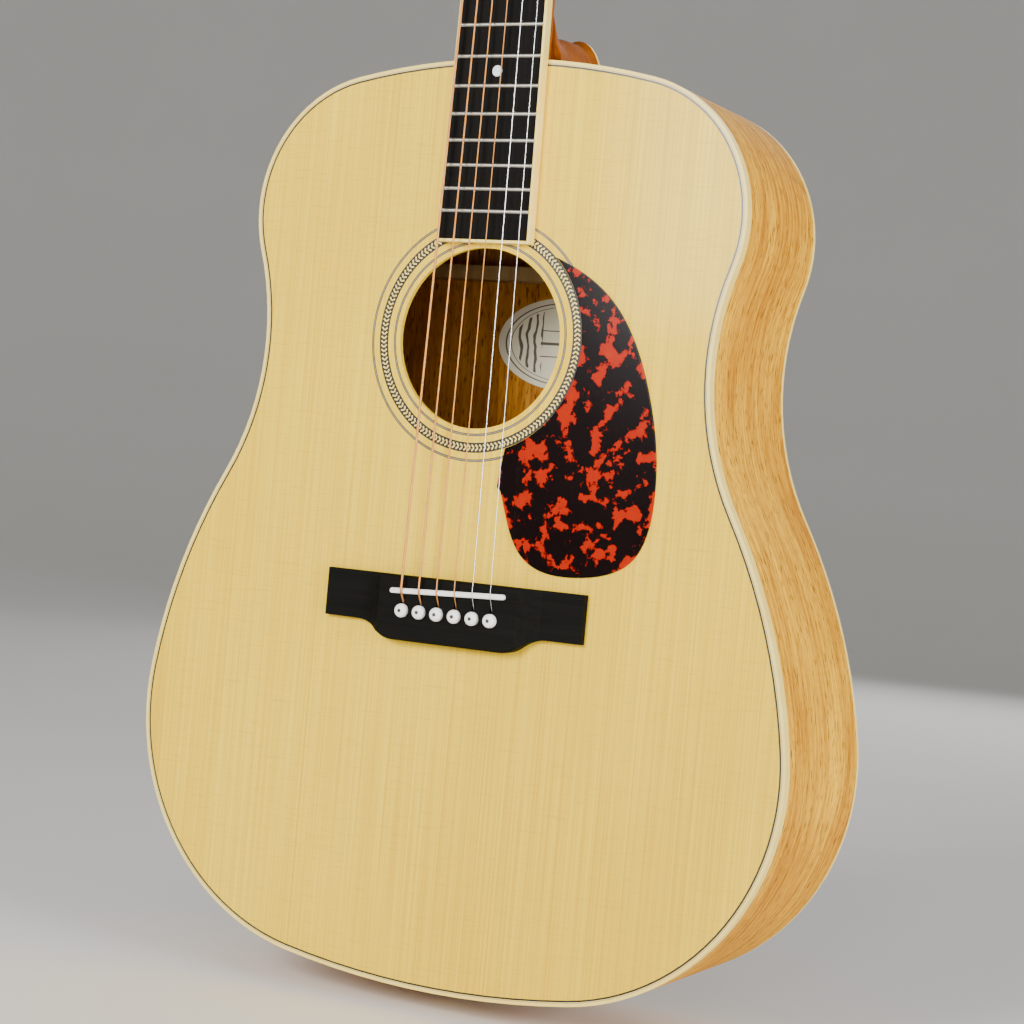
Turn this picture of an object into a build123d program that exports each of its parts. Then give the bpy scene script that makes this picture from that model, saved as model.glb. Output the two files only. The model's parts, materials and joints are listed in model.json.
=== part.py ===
from build123d import *
import math
import os

# Six-string steel-string dreadnought guitar, standing upright, in millimetres.
# The origin is the seat of the strap button, in the middle of the tail.
# +Z runs up the neck, +X is the treble side, and the soundboard faces -Y.

# ---- driving sizes: body ----
BODY_LENGTH = 512.0
LOWER_WIDTH = 403.0
WAIST_WIDTH = 276.6
UPPER_WIDTH = 302.0
LOWER_WIDEST_Z = 111.0
WAIST_Z = 351.0
TAIL_R = 522.0
CORNER_R = 133.0
FLANK_R = 332.0
UPPER_R = 77.0
SHOULDER_DROP = 85.24
TAIL_DEPTH = 124.0
NECK_DEPTH = 100.0
BACK_ARCH_R = 4572.0
TOP_T = 2.8
BACK_T = 2.8
SIDE_T = 2.5
BINDING_W = 1.8
BINDING_H = 6.0
PURFLING_W = 1.6
PURFLING_D = 1.4
LINING_W = 6.0
LINING_H = 14.0
WEDGE_FRONT_W = 9.0
WEDGE_BACK_W = 15.0
BLOCK_W = 84.0
NECK_BLOCK_L = 58.0
TAIL_BLOCK_L = 20.0
BRACE_W = 8.0
BRACE_H = 14.0
BRACE_TIP_H = 3.0
BRACE_GAP = 1.0
X_SPREAD = 98.0
BACK_BRACE_Z = (88.0, 178.0, 282.0, 404.0)
BACK_BRACE_W = (18.0, 18.0, 8.0, 8.0)
BACK_BRACE_H = (9.0, 9.0, 15.0, 15.0)
BACK_STRIP_W = 14.0
BACK_STRIP_T = 2.4

# ---- driving sizes: soundhole, rosette, pickguard, label ----
HOLE_R = 49.5
HOLE_DROP = 153.2
RING_D = 1.2
RINGS = ((2.7, 4.1), (7.7, 13.2), (16.8, 18.2))
PICKGUARD_T = 0.9
PICKGUARD_GAP = 0.3
LABEL_L = 86.0
LABEL_W = 54.0
LABEL_RISE = 6.5
LABEL_T = 0.3

# ---- driving sizes: strings, neck and fretboard ----
SCALE_LENGTH = 647.7
JOINT_FRET = 14
FRET_COUNT = 20
STRING_R = (0.673, 0.533, 0.406, 0.305, 0.203, 0.152)
STRING_FIT = 0.06
PIN_SPACING = 11.0
NUT_SPACING = 7.4
NUT_WIDTH = 44.5
JOINT_WIDTH = 54.6
BOARD_T = 6.0
BOARD_BIND_W = 1.5
BOARD_OVERHANG = 17.0
FRET_W = 2.3
FRET_H = 1.0
TANG_W = 0.6
TANG_D = 2.0
DOT_R = 3.0
DOT_T = 1.2
NUT_L = 6.0
NUT_H = 8.2
NECK_T_NUT = 15.0
NECK_T_JOINT = 17.0
HEEL_STATIONS = ((8.0, 58.0, 0.98), (17.0, 33.0, 0.95), (27.0, 23.0, 0.88), (46.0, 21.0, 0.76),
                 (68.0, 24.0, 0.66), (88.0, 28.0, 0.60))
HEEL_CAP_T = 2.4
TENON_W = 24.0
TENON_L = 18.0
TENON_D = 74.0
ROD_R = 3.0
ROD_DROP = 9.3
ROD_SLOT_W = 6.6
ROD_NUT_AF = 8.0
ROD_NUT_L = 11.0
ROD_THREAD_R = 2.4
ROD_ROOM = 1.0
RUN_FIT = 0.05

# ---- driving sizes: bridge ----
BRIDGE_L = 160.0
BRIDGE_TOP_Z = 2.4
BRIDGE_WING_Z = -24.1
BRIDGE_BELLY_Z = -33.4
BELLY_HALF = 33.0
BELLY_RUN = 28.0
BRIDGE_T = 9.0
WING_T = 3.8
WING_START = 55.0
CREST_HALF = 43.0
SADDLE_L = 71.0
SADDLE_W = 3.0
SADDLE_Z = -4.8
SADDLE_RISE = 2.6
SADDLE_SLOT_D = 6.0
SADDLE_SLANT = 2.4
PIN_Z = -16.8
PIN_R = 2.6
PIN_HEAD_R = 3.8
PIN_HEAD_H = 3.4
PIN_SEAT_GAP = 0.2
PIN_L = 24.0
PIN_SLOT_W = 1.9
PIN_SLOT_FLOOR = 0.9
STRING_INSET = 0.75
BALL_GAP = 0.2
BALL_R = 1.9
BALL_L = 3.2
PLATE_T = 2.5
PLATE_REACH = (8.0, 22.0)

# ---- driving sizes: headstock and tuning machines ----
HEAD_TILT = 14.0
HEAD_T = 15.0
HEAD_L = 168.0
HEAD_FOOT_W = 50.0
HEAD_WIDE_W = 74.0
HEAD_TIP_W = 68.0
VENEER_T = 2.0
POST_Y = (30.0, 70.0, 110.0)
POST_X = 24.0
POST_R = 3.0
POST_H = 9.0
COIL_H = 3.4
COIL_FLOOR = 3.4
SLEEVE_R = 4.5
COLLAR_R = 7.0
COLLAR_T = 1.6
GEAR_TEETH = 14
GEAR_MODULE = 0.6
GEAR_TIP_R = 4.5
GEAR_ROOT_R = 3.5
GEAR_FACE = 2.4
GEAR_DEPTH = 6.0
WORM_PITCH_R = 2.5
WORM_TIP_R = 2.9
WORM_CORE_R = 1.9
WORM_TURNS = 3
TOOTH_ROOT_T = 0.95
TOOTH_TIP_T = 0.42
CASE_WALL = 1.5
CASE_GAP = 1.4
CASE_DEPTH = 11.0
SHAFT_R = 1.8
KNOB_REACH = 30.0
KNOB_L = 20.0
KNOB_W = 12.5
KNOB_T = 7.0
SCREW_R = 1.3
SCREW_HEAD_R = 2.6
SCREW_L = 11.0

# ---- driving sizes: strap button ----
BUTTON_R = 7.0
BUTTON_NECK_R = 4.2
BUTTON_L = 13.0

# ---- worked-out places ----
FRONT_Y = -TAIL_DEPTH / 2
STRING_OFFSET = PIN_R - STRING_INSET
BALL_OFFSET = PIN_R + BALL_R + BALL_GAP
HOLE_Z = BODY_LENGTH - HOLE_DROP
NUT_Z = BODY_LENGTH + SCALE_LENGTH * (1 - 2 ** (-JOINT_FRET / 12))
BRIDGE_LINE = NUT_Z - SCALE_LENGTH
BACK_TILT = math.atan2(TAIL_DEPTH - NECK_DEPTH, BODY_LENGTH)
BOARD_TAPER = (JOINT_WIDTH - NUT_WIDTH) / 2 / (NUT_Z - BODY_LENGTH)
BOARD_END_Z = BRIDGE_LINE + SCALE_LENGTH * 2 ** (-FRET_COUNT / 12) - BOARD_OVERHANG
HEAD_Z = NUT_Z + NUT_L
GEAR_PITCH_R = GEAR_TEETH * GEAR_MODULE / 2
SADDLE_TOP = BRIDGE_T + SADDLE_RISE
HEAD_PLANE = Plane(
    origin=(0, FRONT_Y, HEAD_Z),
    x_dir=(1, 0, 0),
    z_dir=(0, -math.cos(math.radians(HEAD_TILT)), math.sin(math.radians(HEAD_TILT))),
)


# ---- small helpers ----
def front_plane(height):
    """The plane parallel to the soundboard, a height in front of it."""
    return Plane(origin=(0, FRONT_Y - height, 0), x_dir=(1, 0, 0), z_dir=(0, -1, 0))


def slab(outline, front, back):
    """Extrude an outline of the front view between two heights above the soundboard."""
    return extrude(front_plane(back) * outline, front - back)


def block(x_range, height_range, z_range):
    """A plain block given by its ranges across, above the soundboard, and along the neck."""
    size = [high - low for low, high in (x_range, height_range, z_range)]
    middle = ((x_range[0] + x_range[1]) / 2, FRONT_Y - sum(height_range) / 2, sum(z_range) / 2)
    return Pos(*middle) * Box(*size)


def rod(start, end, radius):
    """A round bar between two points."""
    axis = Vector(end) - Vector(start)
    return extrude(Plane(origin=start, z_dir=axis) * Circle(radius), axis.length)


def circle_meeting(first, first_r, second, second_r):
    """The right-hand point where two circles of the front view cross."""
    gap = second - first
    along = (first_r**2 - second_r**2 + gap.length**2) / (2 * gap.length)
    across = math.sqrt(first_r**2 - along**2)
    unit = gap.normalized()
    choices = [first + unit * along + Vector(-unit.Y, unit.X) * across * side for side in (1, -1)]
    return max(choices, key=lambda point: point.X)


def short_arc(center, radius, start, end):
    """The shorter arc about a centre, between the directions of two points."""
    first = (start - center).normalized()
    last = (end - center).normalized()
    middle = (first + last).normalized()
    return ThreePointArc(center + first * radius, center + middle * radius, center + last * radius)


def parts_list(*shapes):
    """Collect separate solids into one shape for a node."""
    solids = [solid for shape in shapes for solid in shape.solids()]
    return solids[0] if len(solids) == 1 else Compound(children=solids)


# ---- body outline: tangent arcs, with two that meet at the waist ----
TAIL_C = Vector(0, TAIL_R)
FLANK_C = Vector(LOWER_WIDTH / 2 - FLANK_R, LOWER_WIDEST_Z)
CORNER_C = circle_meeting(TAIL_C, TAIL_R - CORNER_R, FLANK_C, FLANK_R - CORNER_R)
REACH = WAIST_WIDTH / 2 - FLANK_C.X
WAIST_R = (REACH**2 + (WAIST_Z - LOWER_WIDEST_Z) ** 2 - FLANK_R**2) / (2 * (FLANK_R - REACH))
WAIST_C = Vector(WAIST_WIDTH / 2 + WAIST_R, WAIST_Z)
UPPER_X = UPPER_WIDTH / 2 - UPPER_R
UPPER_C = Vector(UPPER_X, BODY_LENGTH - SHOULDER_DROP)
SPREAD = WAIST_WIDTH / 2 - UPPER_X
RISE_R = (SPREAD**2 + (UPPER_C.Y - WAIST_Z) ** 2 - UPPER_R**2) / (2 * (UPPER_R - SPREAD))
RISE_C = Vector(WAIST_WIDTH / 2 + RISE_R, WAIST_Z)
FALL = -SHOULDER_DROP
SHOULDER_R = (UPPER_R**2 - UPPER_X**2 - FALL**2) / (2 * (FALL + UPPER_R))
SHOULDER_C = Vector(0, BODY_LENGTH - SHOULDER_R)


def toward(center, other, radius):
    """The point of a circle in the direction of another circle's centre."""
    return center + (other - center).normalized() * radius


def body_outline(inset):
    """The body's outline in the front view, moved inwards by an inset."""
    tail_join = toward(TAIL_C, CORNER_C, TAIL_R - inset)
    flank_join = toward(FLANK_C, CORNER_C, FLANK_R - inset)
    lower_join = toward(FLANK_C, WAIST_C, FLANK_R - inset)
    upper_join = toward(UPPER_C, RISE_C, UPPER_R - inset)
    waist = Vector(WAIST_WIDTH / 2 - inset, WAIST_Z)
    top_join = toward(SHOULDER_C, UPPER_C, SHOULDER_R - inset)
    right = [
        short_arc(CORNER_C, CORNER_R - inset, tail_join, flank_join),
        short_arc(FLANK_C, FLANK_R - inset, flank_join, lower_join),
        short_arc(WAIST_C, WAIST_R + inset, lower_join, waist),
        short_arc(RISE_C, RISE_R + inset, waist, upper_join),
        short_arc(UPPER_C, UPPER_R - inset, upper_join, top_join),
    ]
    left = [mirror(arc, about=Plane.YZ) for arc in right]
    tail = ThreePointArc((-tail_join.X, tail_join.Y), (0, inset), tail_join)
    top = ThreePointArc((-top_join.X, top_join.Y), (0, BODY_LENGTH - inset), top_join)
    return make_face(right + left + [tail, top])


def ring(outer, inner):
    """The strip of the front view between two insets of the body outline."""
    return body_outline(outer) - body_outline(inner)


def in_front_of_back(inset):
    """All space in front of the arched back, with the back moved inwards by an inset."""
    half = LOWER_WIDTH
    radius = BACK_ARCH_R - inset
    edge = math.sqrt(radius**2 - half**2) - BACK_ARCH_R
    arch = ThreePointArc((-half, edge), (0, -inset), (half, edge))
    floor = -2 * TAIL_DEPTH
    box = Polyline((half, edge), (half, floor), (-half, floor), (-half, edge))
    axis = (0, -math.sin(BACK_TILT), math.cos(BACK_TILT))
    plane = Plane(origin=(0, FRONT_Y + TAIL_DEPTH, 0), x_dir=(1, 0, 0), z_dir=axis)
    plane = plane.offset(-BODY_LENGTH / 4)
    return extrude(plane * make_face([arch, box]), BODY_LENGTH * 1.5)


UNDER_BACK = in_front_of_back(BACK_T)
DEEP = -2 * TAIL_DEPTH


def fretboard_half(z):
    """Half the width of the bound fretboard at a place along the neck."""
    return NUT_WIDTH / 2 + BOARD_TAPER * (NUT_Z - z)


def fret_z(number):
    """Where a fret sits along the neck."""
    return BRIDGE_LINE + SCALE_LENGTH * 2 ** (-number / 12)


# ---- body pieces ----
def make_soundboard(ring_cuts, pin_cuts):
    plate = slab(body_outline(BINDING_W), 0, -TOP_T)
    plate -= slab(ring(BINDING_W, BINDING_W + PURFLING_W), 0, -PURFLING_D)
    plate -= slab(Pos(0, HOLE_Z) * Circle(HOLE_R), 0, -TOP_T)
    return plate - ring_cuts - pin_cuts


def make_back():
    plate = slab(body_outline(BINDING_W), -TOP_T, DEEP) & in_front_of_back(0)
    return plate - UNDER_BACK


def make_bindings():
    top = slab(ring(0, BINDING_W), 0, -BINDING_H)
    purfling = slab(ring(BINDING_W, BINDING_W + PURFLING_W), 0, -PURFLING_D)
    back = (slab(ring(0, BINDING_W), -TOP_T, DEEP) & in_front_of_back(0)) - UNDER_BACK
    return top, purfling, back


def make_tail_wedge():
    depth = TAIL_DEPTH - TOP_T
    shape = Polyline(
        (-WEDGE_FRONT_W / 2, 0), (WEDGE_FRONT_W / 2, 0),
        (WEDGE_BACK_W / 2, depth), (-WEDGE_BACK_W / 2, depth), close=True,
    )
    plane = Plane(origin=(0, FRONT_Y + TOP_T, 0), x_dir=(1, 0, 0), z_dir=(0, 0, 1))
    return extrude(plane * make_face(shape), BODY_LENGTH / 8)


def make_sides(binding, wedge, tenon):
    wall = (slab(ring(0, SIDE_T), -TOP_T, DEEP) & UNDER_BACK) - binding
    graft = wall & wedge
    wall = wall - wedge - tenon
    bass = wall & block((-LOWER_WIDTH, 0), (DEEP, 0), (-1, BODY_LENGTH + 1))
    treble = wall & block((0, LOWER_WIDTH), (DEEP, 0), (-1, BODY_LENGTH + 1))
    return bass, treble, graft


def make_blocks(tenon, rod_hole, bolt_holes, button_hole):
    inside = slab(body_outline(SIDE_T), -TOP_T, DEEP) & UNDER_BACK
    half = (-BLOCK_W / 2, BLOCK_W / 2)
    neck = inside & block(half, (DEEP, 0), (BODY_LENGTH - SIDE_T - NECK_BLOCK_L, BODY_LENGTH))
    tail = inside & block(half, (DEEP, 0), (0, SIDE_T + TAIL_BLOCK_L))
    return neck - tenon - rod_hole - bolt_holes, tail - button_hole


def make_linings(blocks):
    strip = ring(SIDE_T, SIDE_T + LINING_W)
    top = slab(strip, -TOP_T, -TOP_T - LINING_H)
    back = (slab(strip, -TOP_T, DEEP) & UNDER_BACK) - in_front_of_back(BACK_T + LINING_H)
    for piece in blocks:
        span = piece.bounding_box()
        gap = block((span.min.X, span.max.X), (DEEP, 0), (span.min.Z, span.max.Z))
        top -= gap
        back -= gap
    return top, back


def brace(start, end, width, height, lean=25.0):
    """A bar on the inside of the soundboard whose ends ramp down to the tip height."""
    start = Vector(*start)
    run = Vector(*end) - start
    profile = Polyline(
        (0, 0), (run.length, 0), (run.length, BRACE_TIP_H), (run.length - lean, height),
        (lean, height), (0, BRACE_TIP_H), close=True,
    )
    plane = Plane(
        origin=(start.X, FRONT_Y + TOP_T, start.Y),
        x_dir=(run.X, 0, run.Y),
        z_dir=(-run.Y, 0, run.X),
    )
    return extrude(plane * make_face(profile), width / 2, both=True)


X_CROSS_Z = HOLE_Z - HOLE_R - 32.0
X_SLOPE = math.tan(math.radians(X_SPREAD / 2))


def x_leg_x(z):
    """How far the X-brace centreline is from the middle at a place along the body."""
    return abs(X_CROSS_Z - z) * X_SLOPE


def between_linings():
    """The room that the soundboard's braces keep to."""
    return slab(body_outline(SIDE_T + LINING_W + BRACE_GAP), -TOP_T, DEEP)


def make_x_braces():
    low = LOWER_WIDEST_Z + 8.0
    high = X_CROSS_Z + 98.0
    lower_x = x_leg_x(low)
    upper_x = x_leg_x(high)
    legs = []
    for side in (1, -1):
        leg = brace((-side * lower_x, low), (side * upper_x, high), BRACE_W, BRACE_H)
        other = brace((side * lower_x, low), (-side * upper_x, high), BRACE_W, BRACE_H)
        half_lap = (0, -TOP_T - BRACE_H / 2) if side > 0 else (-TOP_T - BRACE_H / 2, DEEP)
        notch = other & block((-40, 40), sorted(half_lap), (X_CROSS_Z - 40, X_CROSS_Z + 40))
        legs.append(leg - notch)
    return parts_list(*[leg & between_linings() for leg in legs])


def rod_room():
    """The free space around the truss rod's nut, below the neck block."""
    top = BODY_LENGTH - SIDE_T - NECK_BLOCK_L
    low = top - ROD_NUT_L - 3 - ROD_ROOM
    radius = ROD_NUT_AF / 2 / math.cos(math.pi / 6) + ROD_ROOM
    return rod((0, FRONT_Y + ROD_DROP, low), (0, FRONT_Y + ROD_DROP, top), radius)


def make_top_braces():
    slim = BRACE_W * 0.75
    upper_z = HOLE_Z + HOLE_R + 22.0
    bars = [brace((-118, upper_z), (118, upper_z), BRACE_W * 1.5, BRACE_H)]
    hoop = (Circle(HOLE_R + 14) - Circle(HOLE_R + 3)) & Pos(0, 12) * Rectangle(200, HOLE_R * 0.8)
    bars.append(slab(Pos(0, HOLE_Z) * hoop, -TOP_T, -TOP_T - 2.5))
    for drop, left, right in ((46.0, -38.0, 62.0), (92.0, -66.0, 84.0)):
        z = BRIDGE_LINE + BRIDGE_BELLY_Z - 8.0
        bars.append(brace((left, z - drop + 20), (right, z - drop + 2), slim, BRACE_H * 0.75))
    for side in (1, -1):
        for rise in (-8.0, -58.0):
            z = X_CROSS_Z + rise
            x = x_leg_x(z - 10) + 14 + abs(rise) * 0.1
            bars.append(brace((side * x, z), (side * (x + 42), z - 26), slim, BRACE_H * 0.6, 12))
    return parts_list(*[(bar & between_linings()) - rod_room() for bar in bars])


def make_bridge_plate(cuts):
    top = BRIDGE_LINE + PLATE_REACH[0]
    bottom = BRIDGE_LINE - PLATE_REACH[1] - 8.0
    margin = BRACE_W
    shape = Polyline(
        (-x_leg_x(top) + margin, top), (x_leg_x(top) - margin, top),
        (x_leg_x(bottom) - margin, bottom), (-x_leg_x(bottom) + margin, bottom), close=True,
    )
    return slab(make_face(shape), -TOP_T, -TOP_T - PLATE_T) - cuts


def make_back_braces():
    """Four bars across the back and the seam strip between them, which leaves the label's bay."""
    inner = slab(body_outline(SIDE_T + LINING_W), -TOP_T, DEEP) & UNDER_BACK
    bars = []
    for z, width, height in zip(BACK_BRACE_Z, BACK_BRACE_W, BACK_BRACE_H):
        span = block((-LOWER_WIDTH, LOWER_WIDTH), (DEEP, 0), (z - width / 2, z + width / 2))
        bars.append((inner & span) - in_front_of_back(BACK_T + height))
    half = BACK_STRIP_W / 2
    lower = block((-half, half), (DEEP, 0), (SIDE_T + TAIL_BLOCK_L, BACK_BRACE_Z[2]))
    upper = block((-half, half), (DEEP, 0), (BACK_BRACE_Z[3], BODY_LENGTH - SIDE_T - NECK_BLOCK_L))
    strip = ((lower + upper) & UNDER_BACK) - in_front_of_back(BACK_T + BACK_STRIP_T)
    for bar in bars:
        strip -= bar
    return bars + [strip]


def make_label():
    oval = Pos(0, HOLE_Z + LABEL_RISE) * Ellipse(LABEL_L / 2, LABEL_W / 2)
    return (slab(oval, -TOP_T, DEEP) & UNDER_BACK) - in_front_of_back(BACK_T + LABEL_T)


def make_rosette():
    rings = []
    for inner, outer in RINGS:
        band = Circle(HOLE_R + outer) - Circle(HOLE_R + inner)
        rings.append(slab(Pos(0, HOLE_Z) * band, 0, -RING_D))
    return parts_list(*rings)


def make_pickguard():
    inner_r = HOLE_R + RINGS[1][1] + PICKGUARD_GAP
    hole = Vector(0, HOLE_Z)
    tip = hole + Vector(43.5, math.sqrt(inner_r**2 - 43.5**2))
    root = hole + Vector(22.5, -math.sqrt(inner_r**2 - 22.5**2))
    inner = short_arc(hole, inner_r, tip, root)
    edge = Spline(
        tip, hole + Vector(80.3, 22.4), hole + Vector(105.4, -26.0), hole + Vector(113.2, -78.0),
        hole + Vector(103.6, -112.5), hole + Vector(70.0, -124.6), hole + Vector(34.5, -112.0),
        hole + Vector(21.2, -81.0), root,
        tangents=(Vector(20.0, -7.5), Vector(1.5, 10.0)),
    )
    return slab(make_face([inner, edge]), PICKGUARD_T, 0)


# ---- bridge, saddle and pins ----
def bridge_outline():
    top = BRIDGE_LINE + BRIDGE_TOP_Z
    wing = BRIDGE_LINE + BRIDGE_WING_Z
    belly = BRIDGE_LINE + BRIDGE_BELLY_Z
    end = BRIDGE_L / 2
    run = BELLY_HALF + BELLY_RUN
    right = Bezier(
        (BELLY_HALF, belly), (BELLY_HALF + BELLY_RUN * 0.45, belly),
        (BELLY_HALF + BELLY_RUN * 0.4, wing), (run, wing),
    )
    left = mirror(right, about=Plane.YZ)
    base = Line((-BELLY_HALF, belly), (BELLY_HALF, belly))
    rim = Polyline((run, wing), (end, wing), (end, top), (-end, top), (-end, wing), (-run, wing))
    return make_face([left, base, right, rim])


def bridge_profile():
    """The end-to-end profile: a flat crest that scoops down to thin wings."""
    end = BRIDGE_L / 2 + 1
    right = Bezier(
        (CREST_HALF, BRIDGE_T), (CREST_HALF + 3.5, BRIDGE_T - 3.0),
        (WING_START - 5, WING_T + 0.3), (WING_START, WING_T),
    )
    left = mirror(right, about=Plane.YZ)
    crest = Line((-CREST_HALF, BRIDGE_T), (CREST_HALF, BRIDGE_T))
    rim = Polyline((WING_START, WING_T), (end, WING_T), (end, 0), (-end, 0), (-end, WING_T),
                   (-WING_START, WING_T))
    return make_face([left, crest, right, rim])


def pin_x(string):
    return (string - 2.5) * PIN_SPACING


def saddle_z(x):
    return BRIDGE_LINE + SADDLE_Z + x * math.tan(math.radians(SADDLE_SLANT))


def pin_holes():
    """The bores for all six pins, through bridge, soundboard and bridge plate."""
    plane = front_plane(BRIDGE_T + 1)
    spots = [plane * Pos(pin_x(i), BRIDGE_LINE + PIN_Z) for i in range(6)]
    depth = BRIDGE_T + TOP_T + PLATE_T + 2
    bores = [extrude(spot * Circle(PIN_R + RUN_FIT), -depth) for spot in spots]
    return Compound(children=[bore.solid() for bore in bores])


def string_ramp(string):
    """The slope in the bridge that lets a string rise from its pin hole."""
    z = BRIDGE_LINE + PIN_Z
    low = BRIDGE_T - 4.0
    shape = Polyline((z, low), (z + STRING_OFFSET, low), (z + 8.2, BRIDGE_T + 0.1), (z, BRIDGE_T + 0.1),
                     close=True)
    plane = Plane(origin=(pin_x(string), FRONT_Y, 0), x_dir=(0, 0, 1), z_dir=(1, 0, 0))
    return extrude(plane * make_face(shape), PIN_SLOT_W / 2, both=True)


def saddle_blank(height, clearance=0.0):
    """The saddle's rounded plank, or its slot when a clearance is given."""
    foot = BRIDGE_T - SADDLE_SLOT_D
    plan = Rectangle(SADDLE_L + 2 * clearance, SADDLE_W + 2 * clearance)
    plan = fillet(plan.vertices(), SADDLE_W / 2 - 0.1)
    plan = Pos(0, BRIDGE_LINE + SADDLE_Z) * Rot(0, 0, SADDLE_SLANT) * plan
    return slab(plan, height, foot)


def make_bridge(holes):
    shape = slab(bridge_outline(), BRIDGE_T + 1, 0)
    plane = Plane(origin=(0, FRONT_Y, NUT_Z), x_dir=(1, 0, 0), z_dir=(0, 0, -1))
    shape &= extrude(plane * bridge_profile(), NUT_Z)
    crest = shape.faces().filter_by(Axis.Y).sort_by(Axis.Y)[0]
    crest_edges = crest.edges().filter_by(Axis.X)
    shape = chamfer(crest_edges, 1.2)
    shape -= saddle_blank(BRIDGE_T + 2)
    for string in range(6):
        shape -= string_ramp(string)
    return shape - holes


def make_saddle(cutters):
    blank = saddle_blank(SADDLE_TOP)
    crown = blank.faces().filter_by(Axis.Y).sort_by(Axis.Y)[0]
    blank = fillet(crown.edges(), SADDLE_W / 2 - 0.4)
    for cutter in cutters:
        blank -= cutter
    return blank


def upright(solid, height):
    """A solid of revolution about the pin's axis, standing on a height above the soundboard."""
    return Pos(0, 0, height) * solid


def make_pin(string):
    """A bridge pin: a tapered point, a shank, a rounded head, and a slot on its upper side."""
    foot = (Align.CENTER, Align.CENTER, Align.MIN)
    seat = BRIDGE_T + PIN_SEAT_GAP
    tip = seat - PIN_L
    point = upright(Cone(PIN_R - 0.7, PIN_R, 5.0, align=foot), tip)
    shank = upright(Cylinder(PIN_R, PIN_L - 5.0, align=foot), tip + 5.0)
    head = upright(Cylinder(PIN_HEAD_R, PIN_HEAD_H, align=foot), seat)
    head = fillet(head.faces().sort_by(Axis.Z)[-1].edges(), PIN_HEAD_H * 0.65)
    slot = Pos(0, PIN_SLOT_FLOOR + 5, seat - PIN_L / 2 - 0.5) * Box(PIN_SLOT_W, 10, PIN_L + 1)
    spot = front_plane(0) * Pos(pin_x(string), BRIDGE_LINE + PIN_Z)
    return spot * (shank + point + head - slot)


# ---- strings ----
def nut_x(string):
    return (string - 2.5) * NUT_SPACING


def post_place(string):
    """Across and along the headstock, where the string's tuning post stands."""
    row = string if string < 3 else 5 - string
    side = -1 if string < 3 else 1
    return side, POST_Y[row]


def string_points(string):
    radius = STRING_R[string]
    x = pin_x(string)
    z = BRIDGE_LINE + PIN_Z
    under = -TOP_T - PLATE_T
    side, along = post_place(string)
    inner_x = side * (POST_X - POST_R - radius)
    coil_level = VENEER_T + COLLAR_T + COIL_FLOOR - 1.0
    ring_r = POST_R + 2 * radius
    gap = math.sqrt(ring_r**2 - POST_R**2) + 0.5
    head = HEAD_PLANE.from_local_coords(Vector(inner_x, along - gap, coil_level))
    lift = radius + 0.12
    return [
        Vector(x, FRONT_Y - under + BALL_R + 0.1, z + BALL_OFFSET),
        Vector(x, FRONT_Y - under + 0.7, z + STRING_OFFSET),
        Vector(x, FRONT_Y - BRIDGE_T + 2.6, z + STRING_OFFSET),
        Vector(x, FRONT_Y - SADDLE_TOP - lift, saddle_z(x)),
        Vector(nut_x(string), FRONT_Y - NUT_H + 0.5 - lift, NUT_Z + 1.6),
        head,
    ]


def string_tube(string, extra=0.0):
    path = FilletPolyline(*string_points(string), radius=(1.0, 1.2, 4.0, 4.0))
    return sweep(Plane(origin=path @ 0, z_dir=path % 0) * Circle(STRING_R[string] + extra), path=path)


def make_string(string):
    ball = string_points(string)[0]
    plane = Plane(origin=(ball.X - BALL_L / 2, ball.Y, ball.Z), z_dir=(1, 0, 0))
    return string_tube(string) + extrude(plane * Circle(BALL_R), BALL_L)


def string_cutter(string):
    """The room a string needs in the nut and saddle, open above it."""
    tube = string_tube(string, STRING_FIT)
    return tube + Pos(0, -STRING_R[string], 0) * tube


# ---- neck ----
def neck_section(z, depth):
    """The D-shaped section of the neck in a plane across it."""
    half = fretboard_half(z)
    plane = Plane(origin=(0, FRONT_Y, z), x_dir=(1, 0, 0), z_dir=(0, 0, 1))
    shape = Ellipse(half, depth) & Pos(0, depth) * Rectangle(4 * half, 2 * depth)
    return plane * shape


def heel_section(depth, length, share):
    """The rounded section of the heel in a plane parallel to the soundboard."""
    half = share * JOINT_WIDTH / 2
    shape = Pos(0, BODY_LENGTH) * Ellipse(half, length)
    return front_plane(-depth) * (shape & Pos(0, BODY_LENGTH + length) * Rectangle(4 * half, 2 * length))


def make_tenon():
    low = BODY_LENGTH - SIDE_T - TENON_L
    return block((-TENON_W / 2, TENON_W / 2), (-TENON_D, -BINDING_H), (low, BODY_LENGTH + 2))


def neck_seat():
    """The body's own outline, which the heel and the neck's foot rest against."""
    return slab(body_outline(0), 2, DEEP)


def head_outline():
    foot = HEAD_FOOT_W / 2
    wide = HEAD_WIDE_W / 2
    tip = HEAD_TIP_W / 2
    right = Bezier((foot - 2, 0), (foot + 1, 6), (wide - 5, 8), (wide, 19))
    left = mirror(right, about=Plane.YZ)
    crown = ThreePointArc((tip, HEAD_L - 5), (0, HEAD_L), (-tip, HEAD_L - 5))
    sides = [Line((wide, 19), (tip, HEAD_L - 5)), Line((-tip, HEAD_L - 5), (-wide, 19))]
    foot_line = Line((-foot + 2, 0), (foot - 2, 0))
    return make_face([right, left, crown, foot_line] + sides)


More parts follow.
